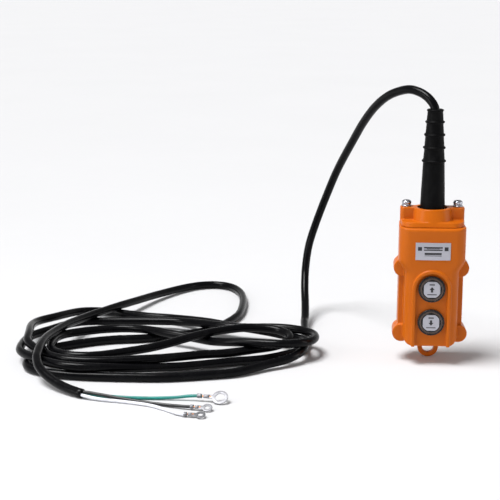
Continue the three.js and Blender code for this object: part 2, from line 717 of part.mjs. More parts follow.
// The three leads outside: route, terminal heading about Z, tilt about its own length, and sizes.
const WIRES = [
  {
    name: "black", material: BLACK, tilt: 27, heading: -8,
    sizes: { barrel: 7.5, neck: 3.2, ringRadius: 4.6, holeRadius: 2.2 },
    route: [
      [-321.6, -143.6, 6], [-306, -146.5, 4.7], [-290, -149.5, 3], [-268, -155, 1.8],
      [-246, -161.5, 1.8], [-231, -166, 2.4], [-222.8, -168.2, 2.9],
    ],
  },
  {
    name: "green", material: GREEN, tilt: 33, heading: -9,
    sizes: { barrel: 11, neck: 2.6, ringRadius: 7.4, holeRadius: 4.3 },
    route: [
      [-321.4, -142.2, 2.6], [-306, -141.5, 1.9], [-285, -143.5, 1.6], [-262, -144, 1.6],
      [-240, -143.5, 2.4], [-227, -143.9, 4.2], [-218.8, -144.8, 5],
    ],
  },
  {
    name: "white", material: WHITE, tilt: 16, heading: -4,
    sizes: { barrel: 7, neck: 3, ringRadius: 4.5, holeRadius: 2.2 },
    route: [
      [-321.6, -146.8, 3.4], [-306, -151, 2], [-285, -155, 1.6], [-262, -162, 1.6],
      [-246, -172, 1.6], [-233, -183, 2.1], [-226.5, -186.6, 2.6],
    ],
  },
];

function buildCord() {
  add("cord_drop", tube(DROP, CORD, 10, 26), JACKET);
  add("cord_coil", coilSolid(), JACKET);
  add("cord_tail", tube(TAIL, CORD, 10, 32), JACKET);
  WIRES.forEach(({ name, material, route, tilt, heading, sizes }) => {
    add(`wire_${name}`, tube(route, WIRE, 8, 14), material);
    const end = route[route.length - 1];
    const terminal = add(`ring_terminal_${name}`, ringTerminal(sizes), ZINC);
    terminal.rotation.set(
      THREE.MathUtils.degToRad(tilt), 0, THREE.MathUtils.degToRad(heading), "ZXY");
    terminal.position.set(end[0] + 2 * GAP, end[1], end[2]);
  });
}

buildHousing();
buildCap();
buildCordEntry();
BUTTONS.forEach(buildButton);
buildContacts();
buildLeads();
buildCord();

const part = new THREE.Group();
pendant.position.y = AXIS_Y;
part.add(pendant);

export default part;
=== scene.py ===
"""Looks of the hoist pendant control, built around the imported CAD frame.

Lengths in the shape code are millimetres about the axis of the cable boot, as the CAD draws them;
world() turns them into the frame's metres. +Z is up and the buttons face -Y.
"""

import json
from math import acos, asin, cos, degrees, exp, pi, radians, sin, tan

import bmesh
import bpy
import numpy as np
from mathutils import Euler, Matrix, Vector
from numpy.linalg import norm

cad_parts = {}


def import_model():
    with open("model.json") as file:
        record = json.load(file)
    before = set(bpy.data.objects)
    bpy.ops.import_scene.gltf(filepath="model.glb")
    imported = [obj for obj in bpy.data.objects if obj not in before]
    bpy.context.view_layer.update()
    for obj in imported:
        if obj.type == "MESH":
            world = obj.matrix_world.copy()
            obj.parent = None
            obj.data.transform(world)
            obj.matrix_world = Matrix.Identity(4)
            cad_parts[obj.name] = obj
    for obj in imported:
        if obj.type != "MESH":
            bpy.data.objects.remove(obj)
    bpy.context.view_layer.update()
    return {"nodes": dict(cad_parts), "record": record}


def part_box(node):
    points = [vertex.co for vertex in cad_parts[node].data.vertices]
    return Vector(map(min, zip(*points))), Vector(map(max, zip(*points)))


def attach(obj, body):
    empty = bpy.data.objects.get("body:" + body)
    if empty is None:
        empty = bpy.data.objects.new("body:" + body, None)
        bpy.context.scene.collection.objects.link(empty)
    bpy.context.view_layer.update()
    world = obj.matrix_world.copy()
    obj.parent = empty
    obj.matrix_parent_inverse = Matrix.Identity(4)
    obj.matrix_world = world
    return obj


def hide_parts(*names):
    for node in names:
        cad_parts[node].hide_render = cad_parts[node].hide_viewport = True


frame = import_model()

MM = 0.001

boot_low, boot_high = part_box("cable_boot")
AXIS = Vector(((boot_low.x + boot_high.x) / 2, (boot_low.y + boot_high.y) / 2, 0))


def world(point):
    """A point in millimetres about the boot's axis, in the frame's metres."""
    return Vector(point) * MM + AXIS


def span(node):
    """Lowest and highest corner of a CAD node, in millimetres about the boot's axis."""
    low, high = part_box(node)
    return (low - AXIS) / MM, (high - AXIS) / MM


# ------ sizes

front_low, front_high = span("front_case")
rear_low, rear_high = span("rear_case")
cap_low, cap_high = span("cable_cap")
# Heights run along Z and depths along Y, where less is nearer the front.
TOP = front_high.z
FOOT = front_low.z
FACE = -27.0  # front face of the housing
FRONT_END = front_high.y
REAR_START = rear_low.y
BACK = rear_high.y
RIDGE_FRONT = front_low.y
WALL = 3.0
CLEARANCE = 0.3
UPPER_HALF = 32.3  # the bulge's half widths above and below its shoulders
LOWER_HALF = 26.4
SHOULDER_TOP = 105.0
SHOULDER_FOOT = 91.0
CROWN = 2.2  # how far the front face falls back at its edges
FLANGE_HALF = 31.6
FLANGE_FRONT = -11.0
FLANGE_CORNER = 12.0
EARS = [(x, z) for z in (95.5, 29.0) for x in (-28.0, 28.0)]
EAR_RADIUS = front_high.x - 28.0
EAR_FRONT = -13.5
EAR_BACK = 8.0
CHANNEL_HALF = 15.5
CHANNEL_FLOOR = -24.8
RIDGE_WIDTH = 3.4
BUTTON_SEAT = 11.6
BOSS_RADIUS = 7.4  # posts round the four case screws
CASE_SCREW_HOLE = 2.3
PILOT_HOLE = 1.8
BLOCK_SCREWS = [(-11.0, 97.0), (11.0, 97.0)]
CLAMP_SCREWS = [(-10.5, 121), (10.5, 121)]
EARTH_X = 16
EARTH_Z = 104
CORD_NOTCH = 9
CORD_SEAT = 4.6
EYE_Z = 10.4
EYE_RADIUS = 10.4
EYE_HOLE = 5.8
EYE_FRONT = 2.0
EYE_BACK = 8.0
CAP_BASE = cap_low.z
CAP_TOP = cap_high.z
CAP_LEDGE = 142.6  # top of the cap's base, round its ears and tower
CAP_LIP = TOP + 0.25
CAP_HOLE = 14.5
CAP_SCREW_X = 25.0
CAP_SCREW_Y = 3.0
CAP_SCREW_HOLE = 2.8
CAP_EAR = 6.3
CAP_EAR_FRONT = -6.0
TOWER_HALF = 18.6
TOWER_FRONT = 23.5  # the tower's foot reaches further to the front
TOWER_BACK = 16.5
GASKET_INSET = 1.8  # the cap's lip hides its gasket
COLLAR_RADIUS = 15.8
BOOT_TOP = span("cable_boot")[1].z
BOOT_RIBS = [(200, 10.4), (213, 9.6), (225.5, 8.9), (238, 8.1)]
PRINT = 0.06  # thickness of the printed marks
BUTTON_Z = {name: sum(corner.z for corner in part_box(f"{name}_label")) / 2 / MM for name in ("up", "down")}
# The cords, in metres.
CORD_DIAMETER = 0.0086
WIRE_DIAMETER = 0.0029


# ------ camera and cord routes

def new_object(name, data):
    obj = bpy.data.objects.new(name, data)
    bpy.context.scene.collection.objects.link(obj)
    return obj


def place_camera():
    """The photograph's view: a little above the object, aimed slightly down."""
    camera = new_object("camera", bpy.data.cameras.new("camera"))
    camera.location = (-0.1022, -1.2573, 0.4)
    camera.rotation_euler = Euler((radians(77), 0, radians(3.5)))
    camera.data.lens = 93.6
    camera.data.sensor_width = 36
    camera.data.clip_start = 0.05
    camera.data.clip_end = 20
    bpy.context.scene.camera = camera


place_camera()

# The cord's route, in metres about the boot's axis. First out of the boot, back and down to the surface.
DROP = [
    (0, 0, 0.244), (0, 0, 0.2475), (-0.0003, 0.0002, 0.2505), (-0.0012, 0.0009, 0.2532),
    (-0.0032, 0.0024, 0.2564), (-0.0075, 0.0065, 0.261), (-0.015, 0.0135, 0.2652),
    (-0.026, 0.024, 0.2665), (-0.042, 0.044, 0.259), (-0.055, 0.064, 0.2455), (-0.066, 0.086, 0.227),
    (-0.076, 0.108, 0.205), (-0.092, 0.14, 0.168), (-0.104, 0.158, 0.135), (-0.115, 0.168, 0.103),
    (-0.123, 0.17, 0.076), (-0.1265, 0.163, 0.052), (-0.127, 0.147, 0.034), (-0.126, 0.127, 0.02),
    (-0.1255, 0.108, 0.0115), (-0.126, 0.0945, 0.0074),
]
# The wide loop on the surface behind the coil.
LOOP = [
    (-0.1995, 0.127, 0.0045), (-0.198, 0.15, 0.0045), (-0.198, 0.175, 0.0045),
    (-0.1995, 0.2, 0.0045), (-0.205, 0.228, 0.0045), (-0.217, 0.251, 0.0045),
    (-0.237, 0.2605, 0.0045), (-0.26, 0.253, 0.0045), (-0.279, 0.233, 0.005),
    (-0.294, 0.21, 0.006), (-0.306, 0.187, 0.008), (-0.317, 0.16, 0.0105),
    (-0.33, 0.131, 0.0127),
]
# From the coil's front edge down to the bare end.
END = [
    (-0.379, -0.086, 0.0205), (-0.374, -0.101, 0.0165), (-0.365, -0.113, 0.012),
    (-0.353, -0.124, 0.008), (-0.339, -0.1345, 0.0056), (-0.324, -0.144, 0.0045),
]
# The coil's loose turns: each gives the places that the cord passes, with its heading in degrees.
COIL = [
    [(-0.125, 0.064, 0.0043, 270), (-0.134, -0.007, 0.0043, 220), (-0.177, -0.036, 0.0043, 190),
     (-0.253, -0.066, 0.007, 182), (-0.341, -0.093, 0.013, 172), (-0.381, -0.071, 0.013, 140),
     (-0.408, -0.035, 0.013, 92), (-0.4, 0.03, 0.011, 48), (-0.357, 0.086, 0.006, 6),
     (-0.271, 0.083, 0.008, -6), (-0.198, 0.044, 0.015, -14), (-0.145, 0.038, 0.0135, -24)],
    [(-0.112, 0.005, 0.017, -90), (-0.143, -0.034, 0.0215, 188), (-0.191, -0.021, 0.017, 162),
     (-0.253, 0.018, 0.013, 164), (-0.32, 0.048, 0.009, 180), (-0.367, 0.028, 0.01, 210),
     (-0.379, -0.024, 0.0133, 270), (-0.341, -0.063, 0.014, -2), (-0.288, -0.041, 0.014, 24),
     (-0.225, -0.004, 0.0195, 30), (-0.173, 0.025, 0.021, -4)],
    [(-0.134, 0.002, 0.0175, -90), (-0.171, -0.02, 0.0129, 192), (-0.211, -0.041, 0.0129, 192),
     (-0.281, -0.072, 0.013, 184), (-0.349, -0.075, 0.014, 165), (-0.384, -0.051, 0.016, 128),
     (-0.403, -0.023, 0.0205, 90), (-0.402, 0.067, 0.014, 50), (-0.358, 0.132, 0.0048, 0),
     (-0.285, 0.106, 0.006, -11), (-0.198, 0.053, 0.0129, -16), (-0.148, 0.043, 0.008, -36)],
    [(-0.122, -0.012, 0.0129, -90), (-0.151, -0.047, 0.0055, 206), (-0.199, -0.079, 0.0043, 192),
     (-0.269, -0.094, 0.0043, 180), (-0.341, -0.092, 0.0043, 174), (-0.397, -0.056, 0.0043, 92),
     (-0.373, 0.001, 0.0043, 32), (-0.312, 0.029, 0.0043, 6), (-0.241, 0.055, 0.0043, 28),
     (-0.205, 0.109, 0.0043, 68)],
]
# Over the coil's left end, from the wide loop to its front edge.
CROSSING = [
    (-0.343, 0.105, 0.0137, 243), (-0.358, 0.075, 0.015, 247), (-0.375, 0.018, 0.0195, 260),
    (-0.382, -0.042, 0.0225, 270), (-0.381, -0.068, 0.0228, 273),
]
# The three leads outside: each terminal's heading and tilt, its barrel, neck, ring and hole in
# millimetres, and the lead's route.
LEADS = {
    "black": ((-8, 27), (7.5, 3.2, 4.6, 2.2), [
        (-0.3216, -0.1436, 0.006), (-0.306, -0.1465, 0.0047), (-0.29, -0.1495, 0.003),
        (-0.268, -0.155, 0.0018), (-0.246, -0.1615, 0.0018), (-0.231, -0.166, 0.0024),
        (-0.2228, -0.1682, 0.0029)]),
    "green": ((-9, 33), (11, 2.6, 7.4, 4.3), [
        (-0.3214, -0.1422, 0.0026), (-0.306, -0.1415, 0.0019), (-0.285, -0.1435, 0.0016),
        (-0.262, -0.144, 0.0016), (-0.24, -0.1435, 0.0024), (-0.227, -0.1439, 0.0042),
        (-0.2188, -0.1448, 0.005)]),
    "white": ((-4, 16), (7, 3, 4.5, 2.2), [
        (-0.3216, -0.1468, 0.0034), (-0.306, -0.151, 0.002), (-0.285, -0.155, 0.0016),
        (-0.262, -0.162, 0.0016), (-0.246, -0.172, 0.0016), (-0.233, -0.183, 0.0021),
        (-0.2265, -0.1866, 0.0026)]),
}
ROUTE_STEP = 0.004


def through(points, per_span=8):
    """A smooth curve through the points (Catmull-Rom)."""
    p = np.array([points[0], *points, points[-1]], float)
    t = np.linspace(0, 1, per_span, endpoint=False)[:, None]
    spans = [
        0.5 * (2 * b + (c - a) * t + (2 * a - 5 * b + 4 * c - d) * t**2
               + (3 * b - a - 3 * c + d) * t**3)
        for a, b, c, d in zip(p, p[1:], p[2:], p[3:])
    ]
    return np.vstack([*spans, p[-1:]])


def steered(places, per_span=16):
    """A curve through places given as (x, y, z, heading), each span one cubic Bezier in plan."""
    t = np.linspace(0, 1, per_span, endpoint=False)[:, None]
    spans = []
    for start, end in zip(places, places[1:]):
        turn = radians(max(abs((end[3] - start[3] + 180) % 360 - 180), 0.1))
        p0, p3 = np.array(start[:2]), np.array(end[:2])
        handle = norm(p3 - p0) * 4 / 3 * tan(turn / 4) / (2 * sin(turn / 2))
        p1 = p0 + handle * np.array(polar(1, start[3]))
        p2 = p3 - handle * np.array(polar(1, end[3]))
        plan = (1 - t)**3 * p0 + 3 * (1 - t)**2 * t * p1 + 3 * (1 - t) * t**2 * p2 + t**3 * p3
        height = start[2] + (end[2] - start[2]) * t**2 * (3 - 2 * t)
        spans.append(np.hstack([plan, height]))
    return np.vstack([*spans, np.array([places[-1][:3]])])


def evenly(points, held, step):
    """The same line with points a step apart, and where it is held."""
    along = np.concatenate([[0], np.cumsum(norm(np.diff(points, axis=0), axis=1))])
    places = np.linspace(0, along[-1], round(along[-1] / step) + 1)
    line = np.stack([np.interp(places, along, points[:, k]) for k in range(3)], 1)
    return line, places, np.interp(places, along, held) > 0.99


def ease_apart(line, along, held):
    """Moves crossing stretches of the cord apart until they only touch, with no tight bend.

    Each round draws the line towards its route, evens it, opens its tight bends, parts the stretches
    that overlap, spreading each move along the cord, and lowers short humps."""
    rounds, fading = 200, 40
    reach = 4  # points to either side over which a bend is measured
    slope = 10  # points to either side over which a move fades
    least_radius = 0.033
    homing, evening, opening, parting, lowering = 0.02, 0.2, 0.5, 0.35, 0.1
    home = line.copy()
    gap = CORD_DIAMETER * 1.01
    near = norm(line[:, None] - line[None, :], axis=2) < 3 * CORD_DIAMETER
    i, j = np.where(near & (along[None, :] - along[:, None] > 5 * CORD_DIAMETER))
    most_sag = (reach * (along[1] - along[0]))**2 / (2 * least_radius)
    spread = 1 - np.abs(np.arange(-slope, slope + 1)) / (slope + 1)
    spread *= 5 / spread.sum()
    for turn in range(rounds):
        ease = min(1, (rounds - turn) / fading)
        line += (home - line) * homing
        line[1:-1] += ((line[:-2] + line[2:]) / 2 - line[1:-1]) * evening * ease
        sag = np.zeros_like(line)
        sag[reach:-reach] = (line[:-2 * reach] + line[2 * reach:]) / 2 - line[reach:-reach]
        size = np.maximum(norm(sag, axis=1), 1e-9)
        push = sag * (np.maximum(size - most_sag, 0) / size)[:, None]
        line += push * opening
        line[:-reach] -= push[reach:] * opening / 2
        line[reach:] -= push[:-reach] * opening / 2
        between = line[i] - line[j]
        distance = norm(between, axis=1)
        move = between * (np.maximum(gap - distance, 0) / distance)[:, None] * parting
        shift = np.zeros_like(line)
        np.add.at(shift, i, move)
        np.add.at(shift, j, -move)
        line += np.apply_along_axis(np.convolve, 0, shift, spread, "same")
        hump = (line[:-2 * reach, 2] + line[2 * reach:, 2]) / 2 - line[reach:-reach, 2]
        line[reach:-reach, 2] += hump * lowering * ease
        line[:, 2] = np.maximum(line[:, 2], CORD_DIAMETER / 2)
        line[held] = home[held]
    return line


def cord_route():
    """The whole cord, from inside the boot's top to its bare end, which are both held."""
    turns = steered([place for turn in COIL for place in turn])
    stretches = [(through(DROP), 1), (turns, 0), (through(LOOP), 0), (steered(CROSSING), 0),
                 (through(END), 1)]
    points = np.vstack([stretch for stretch, _ in stretches])
    held = np.concatenate([np.full(len(stretch), flag) for stretch, flag in stretches])
    line, along, held = evenly(points, held, ROUTE_STEP)
    return ease_apart(line, along, held) + np.array(AXIS)


# ------ mesh helpers

def make(name, vertices, faces):
    """A mesh object from points in metres, with its faces turned out."""
    mesh = bpy.data.meshes.new(name)
    mesh.from_pydata([tuple(v) for v in vertices], [], faces)
    work = bmesh.new()
    work.from_mesh(mesh)
    bmesh.ops.remove_doubles(work, verts=work.verts, dist=1e-7)
    bmesh.ops.recalc_face_normals(work, faces=work.faces)
    work.to_mesh(mesh)
    work.free()
    return new_object(name, mesh)


def skin(name, rings, close=False):
    """A surface over rings of equally many points, in metres, with flat ends or closed on itself."""
    count = len(rings[0])
    vertices = [v for ring in rings for v in ring]
    pairs = len(rings) if close else len(rings) - 1
    faces = []
    for r in range(pairs):
        a, b = r * count, (r + 1) % len(rings) * count
        faces += [(a + k, a + (k + 1) % count, b + (k + 1) % count, b + k) for k in range(count)]
    if not close:
        faces += [tuple(range(count)), tuple((len(rings) - 1) * count + k for k in range(count))]
    return make(name, vertices, faces)


def loft(name, *levels):
    """A solid through outlines in X and Z, each given with its depth along Y, in millimetres."""
    return skin(name, [[world((x, y, z)) for x, z in outline] for outline, y in levels])


def plan_loft(name, *levels):
    """A solid through outlines in X and Y, each given with its height, in millimetres."""
    return skin(name, [[world((x, y, z)) for x, y in outline] for outline, z in levels])


def prism(name, outline, front, back):
    return loft(name, (outline, front), (outline, back))


def plan_prism(name, outline, foot, top):
    return plan_loft(name, (outline, foot), (outline, top))


def circle(radius, sides, x=0, y=0):
    return [(x + radius * cos(a), y + radius * sin(a)) for a in circle_angles(sides)]


def bar(name, radius, place, front, back, sides=64):
    """A round bar along Y, its place in X and Z."""
    return prism(name, circle(radius, sides, *place), front, back)


def post(name, radius, place, foot, top, sides=64):
    """A round bar along Z, its place in X and Y."""
    return plan_prism(name, circle(radius, sides, *place), foot, top)


def bars(name, radius, places, front, back, sides=48):
    return [bar(f"{name}{k}", radius, place, front, back, sides) for k, place in enumerate(places)]


def rectangle(left, right, low, high):
    return [(left, low), (right, low), (right, high), (left, high)]


def block(name, low, high):
    return prism(name, rectangle(low[0], high[0], low[2], high[2]), low[1], high[1])


def circle_angles(sides):
    return [2 * pi * k / sides for k in range(sides)]


def turned(name, profile, centre, axis="Z", sides=96, ring=False):
    """A profile of (radius, height) turned about a line along Z or Y through the centre.

    The profile ends on the axis, or closes on itself if ring is set."""
    def place(radius, height, angle):
        u, v = radius * cos(angle), radius * sin(angle)
        if axis == "Z":
            return world((centre[0] + u, centre[1] + v, centre[2] + height))
        return world((centre[0] + u, centre[1] + height, centre[2] + v))

    rings = [[place(max(r, 1e-5), h, a) for a in circle_angles(sides)] for r, h in profile]
    return skin(name, rings, close=ring)


def combine(base, operation, *others):
    """Joins or cuts solids, and leaves only the result."""
    for other in others:
        modifier = base.modifiers.new(other.name, "BOOLEAN")
        modifier.operation = operation
        modifier.solver = "MANIFOLD"
        modifier.object = other
    apply_modifiers(base)
    for other in others:
        bpy.data.objects.remove(other)
    return base


def cut(base, *others):
    return combine(base, "DIFFERENCE", *others)


def apply_modifiers(obj):
    bpy.context.view_layer.update()
    shape = bpy.data.meshes.new_from_object(obj.evaluated_get(bpy.context.evaluated_depsgraph_get()))
    obj.modifiers.clear()
    obj.data = shape


def moulded(obj, voxel, passes):
    """Turns a sharp solid into a moulding with small fillets at every edge and inside corner."""
    remesh = obj.modifiers.new("remesh", "REMESH")
    remesh.mode = "VOXEL"
    remesh.voxel_size = voxel * MM * 1
    ease = obj.modifiers.new("ease", "SMOOTH")
    ease.factor = 0.5
    ease.iterations = passes // 1
    apply_modifiers(obj)
    return smooth(obj)


def smooth(obj, angle=None):
    obj.data.shade_smooth()
    if angle:
        obj.data.set_sharp_from_angle(angle=radians(angle))
    return obj


def broken_edges(obj, width, angle=30, segments=3):
    """Rounds the sharp edges of a machined piece."""
    bevel = obj.modifiers.new("bevel", "BEVEL")
    bevel.width = width * MM
    bevel.segments = segments
    bevel.limit_method = "ANGLE"
    bevel.angle_limit = radians(angle)
    apply_modifiers(obj)
    return smooth(obj, 40)


def sweep(name, stations, sides):
    """A round skin along (point, direction, radius) stations, in metres, without twist."""
    side = Vector(stations[0][1]).orthogonal().normalized()
    rings = []
    for point, direction, radius in stations:
        direction = Vector(direction).normalized()
        side = (side - direction * side.dot(direction)).normalized()
        up = direction.cross(side)
        rings.append([Vector(point) + radius * (cos(a) * side + sin(a) * up)
                      for a in circle_angles(sides)])
    return smooth(skin(name, rings), 50)


def directions(line):
    tangent = np.gradient(line, axis=0)
    return tangent / norm(tangent, axis=1)[:, None]


def polar(radius, angle):
    return radius * cos(radians(angle)), radius * sin(radians(angle))


def arc(centre, radius, start, end, steps):
    """Points of a circular arc, angles in degrees."""
    turns = [polar(radius, start + (end - start) * k / steps) for k in range(steps + 1)]
    return [(centre[0] + u, centre[1] + v) for u, v in turns]


def rounded(left, right, low, high, low_radius, high_radius, steps=12):
    """A rectangle with its own corner radii at its low and its high side."""
    return (
        arc((right - low_radius, low + low_radius), low_radius, -90, 0, steps)
        + arc((right - high_radius, high - high_radius), high_radius, 0, 90, steps)
        + arc((left + high_radius, high - high_radius), high_radius, 90, 180, steps)
        + arc((left + low_radius, low + low_radius), low_radius, 180, 270, steps)
    )


def keep(obj, slot, material, *nodes, body="housing"):
    """Gives a piece its finish, the CAD nodes that it stands for and the body that it moves with."""
    obj.data.materials.clear()
    obj.data.materials.append(material)
    if nodes:
        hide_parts(*nodes)
    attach(obj, body)
    return obj


# ------ materials

class Shader:
    """A material with a Principled shader, and short calls to build its nodes."""

    def __init__(self, name, **values):
        self.material = bpy.data.materials.new(name)
        self.material.use_nodes = True
        self.tree = self.material.node_tree
        self.surface = self.tree.nodes["Principled BSDF"]
        for socket, value in values.items():
            self.surface.inputs[socket.replace("_", " ")].default_value = value
        self.place = self.tree.nodes.new("ShaderNodeTexCoord").outputs["Object"]

    def node(self, kind, **inputs):
        made = self.tree.nodes.new(f"ShaderNode{kind}")
        for socket, value in inputs.items():
            self.join(made.inputs[socket.replace("_", " ")], value)
        return made

    def join(self, socket, value):
        if isinstance(value, bpy.types.NodeSocket):
            self.tree.links.new(value, socket)
        else:
            socket.default_value = value

    def stretched(self, x, y, z):
        """Object coordinates multiplied along each axis."""
        return self.node("Mapping", Vector=self.place, Scale=(x, y, z)).outputs["Vector"]

    def noise(self, scale, detail=3.0, roughness=0.5, place=None):
        return self.node("TexNoise", Vector=place or self.place, Scale=scale, Detail=detail,
                         Roughness=roughness).outputs["Fac"]

    def ramp(self, value, low, high, to_low=0.0, to_high=1.0):
        return self.node("MapRange", Value=value, From_Min=low, From_Max=high, To_Min=to_low,
                         To_Max=to_high).outputs["Result"]

    def drift(self, scale, detail, low, high):
        """A value that wanders between two over the surface."""
        return self.ramp(self.noise(scale, detail), 0.3, 0.7, low, high)

    def mix(self, factor, first, second):
        """Between two colours, each a socket or (red, green, blue)."""
        made = self.tree.nodes.new("ShaderNodeMix")
        made.data_type = "RGBA"
        for index, value in ((0, factor), (6, first), (7, second)):
            self.join(made.inputs[index], (*value, 1) if isinstance(value, tuple) else value)
        return made.outputs[2]

    def calculate(self, operation, first, second):
        made = self.tree.nodes.new("ShaderNodeMath")
        made.operation = operation
        self.join(made.inputs[0], first)
        self.join(made.inputs[1], second)
        return made.outputs[0]

    def multiply(self, first, second):
        return self.calculate("MULTIPLY", first, second)

    def add(self, first, second):
        return self.calculate("ADD", first, second)

    def worn_edge(self, low, high):
        """1 on rubbed outer edges, 0 elsewhere, broken up by noise."""
        point = self.node("NewGeometry").outputs["Pointiness"]
        return self.multiply(self.ramp(point, low, high), self.ramp(self.noise(700), 0.42, 0.62))

    def colour(self, factor, first, second):
        self.join(self.surface.inputs["Base Color"], self.mix(factor, first, second))

    def roughness(self, value):
        self.join(self.surface.inputs["Roughness"], value)

    def bump(self, *layers):
        """Layers of (height, strength, distance in metres), one on the other."""
        normal = None
        for height, strength, distance in layers:
            made = self.node("Bump", Height=height, Strength=strength, Distance=distance)
            if normal:
                self.tree.links.new(normal, made.inputs["Normal"])
            normal = made.outputs["Normal"]
        self.join(self.surface.inputs["Normal"], normal)
        return self.material


def orange_moulding():
    """Semi-gloss ABS: slight flow shades, a fine spark-eroded grain, rubbed edges and hairlines."""
    look = Shader("orange_moulding", Specular_IOR_Level=0.15)
    flow = look.noise(28, 4, 0.55, look.stretched(1, 1, 0.35))
    grain = look.noise(2600, 2)
    hairline = look.ramp(look.noise(900, 2, 0.5, look.stretched(0.06, 1, 1)), 0.66, 0.7)
    worn = look.worn_edge(0.53, 0.6)
    body = look.mix(flow, (0.46, 0.098, 0.0028), (0.54, 0.12, 0.0045))
    look.colour(worn, body, (0.7, 0.19, 0.016))
    base = look.ramp(flow, 0.3, 0.7, 0.3, 0.4)
    scratched = look.add(base, look.multiply(hairline, 0.14))
    look.roughness(look.add(scratched, look.multiply(worn, 0.12)))
    return look.bump((grain, 0.16, 0.0001), (look.noise(160, 3), 0.1, 0.0005),
                     (hairline, 0.1, 0.00006))


def boot_rubber():
    """Matte black rubber with a dry bloom and moulding grain."""
    look = Shader("boot_rubber", Specular_IOR_Level=0.06)
    bloom = look.ramp(look.noise(120, 5, 0.65), 0.45, 0.75)
    look.colour(bloom, (0.0022, 0.0022, 0.0025), (0.006, 0.006, 0.0064))
    look.roughness(look.drift(350, 3, 0.38, 0.52))
    return look.bump((look.noise(3200, 2), 0.22, 0.00012), (look.noise(420, 3), 0.12, 0.0003))


def gasket_rubber():
    look = Shader("gasket_rubber", Specular_IOR_Level=0.3)
    look.colour(look.noise(300, 3), (0.01, 0.01, 0.011), (0.022, 0.021, 0.02))
    look.roughness(look.drift(800, 2, 0.7, 0.85))
    return look.bump((look.noise(2400, 2), 0.3, 0.0001))


def cord_jacket():
    """Extruded PVC jacket: satin black with soft waviness, dusty handling marks and fine scuffs."""
    look = Shader("cord_jacket", Specular_IOR_Level=0.1)
    dust = look.ramp(look.noise(70, 5, 0.6), 0.5, 0.8)
    scuff = look.ramp(look.noise(1500, 2), 0.62, 0.7)
    look.colour(dust, (0.002, 0.002, 0.0026), (0.0055, 0.0055, 0.0062))
    look.roughness(look.add(look.drift(260, 3, 0.17, 0.26), look.multiply(scuff, 0.12)))
    return look.bump((look.noise(1800, 2), 0.1, 0.0001), (look.noise(240, 2), 0.16, 0.0004))


def black_moulding():
    """Gloss black button plastic."""
    look = Shader("black_moulding", Specular_IOR_Level=0.35)
    look.colour(look.noise(200, 3), (0.006, 0.006, 0.007), (0.012, 0.012, 0.013))
    worn = look.worn_edge(0.53, 0.62)
    look.roughness(look.add(look.drift(500, 3, 0.22, 0.32), look.multiply(worn, 0.2)))
    return look.bump((look.noise(2600, 2), 0.12, 0.0001))


def metal(name, dark, light, rough, scale=500, grain=(1, 1, 1), relief=0.1):
    """Plated or plain metal: patchy tone, fine grain along one way and small marks."""
    look = Shader(name, Metallic=1.0)
    patch = look.noise(scale, 4, 0.6)
    lines = look.noise(4200, 2, 0.5, look.stretched(*grain))
    look.colour(patch, dark, light)
    look.roughness(look.add(look.ramp(patch, 0.3, 0.7, rough, rough + 0.1), look.multiply(lines, 0.1)))
    return look.bump((lines, relief, 0.00006), (look.noise(900, 3), 0.08, 0.0001))


def insulator():
    """Cream thermoset of the contact block."""
    look = Shader("insulator", Specular_IOR_Level=0.4)
    fleck = look.ramp(look.noise(1300, 2), 0.6, 0.68)
    body = look.mix(look.noise(90, 4), (0.6, 0.54, 0.38), (0.7, 0.65, 0.5))
    look.colour(fleck, body, (0.45, 0.38, 0.25))
    look.roughness(look.drift(300, 3, 0.5, 0.65))
    return look.bump((look.noise(2200, 2), 0.15, 0.0001))


def wire_insulation(name, dark, light):
    """Smooth extruded insulation of one conductor."""
    look = Shader(name, Specular_IOR_Level=0.5)
    look.colour(look.ramp(look.noise(180, 4), 0.35, 0.65), dark, light)
    look.roughness(look.drift(700, 3, 0.32, 0.44))
    return look.bump((look.noise(1500, 2), 0.1, 0.0001))


def print_ink():
    """Dark screen print, slightly patchy."""
    look = Shader("print_ink", Specular_IOR_Level=0.3)
    look.colour(look.noise(900, 4), (0.012, 0.012, 0.014), (0.035, 0.035, 0.04))
    look.roughness(look.drift(1200, 2, 0.45, 0.6))
    return look.bump((look.noise(3000, 2), 0.2, 0.00005))


def pale_floor():
    look = Shader("pale_floor", Specular_IOR_Level=0.2)
    look.colour(look.noise(3, 2), (0.6, 0.6, 0.61), (0.62, 0.62, 0.63))
    look.roughness(look.drift(40, 3, 0.75, 0.85))
    return look.bump((look.noise(400, 2), 0.02, 0.0003))


ORANGE = orange_moulding()
RUBBER = boot_rubber()
GASKET = gasket_rubber()
JACKET = cord_jacket()
BLACK = black_moulding()
CREAM = insulator()
INK = print_ink()
# Dark steel for the lock rings. Its brown tint is a painted reflection of the orange channel round them.
STEEL_WITH_PAINTED_REFLECTION = metal("ring_steel_painted_reflection", (0.08, 0.06, 0.052), (0.15, 0.118, 0.105), 0.3)
ZINC = metal("bright_zinc", (0.4, 0.41, 0.45), (0.62, 0.63, 0.68), 0.16)
PLATE = metal("satin_plate", (0.42, 0.42, 0.47), (0.52, 0.52, 0.57), 0.4, 260, (0.05, 1, 1), 0.2)
TIN = metal("tinned_copper", (0.17, 0.17, 0.18), (0.3, 0.3, 0.32), 0.42)
BRASS = metal("contact_brass", (0.52, 0.36, 0.12), (0.66, 0.49, 0.2), 0.24)
COPPER = metal("copper_strands", (0.6, 0.25, 0.12), (0.78, 0.38, 0.2), 0.28)
WIRE = {
    "black": wire_insulation("wire_black", (0.006, 0.006, 0.007), (0.014, 0.014, 0.015)),
    "green": wire_insulation("wire_green", (0.003, 0.18, 0.155), (0.004, 0.24, 0.205)),
    "white": wire_insulation("wire_white", (0.66, 0.67, 0.72), (0.76, 0.77, 0.82)),
}


# ------ cords

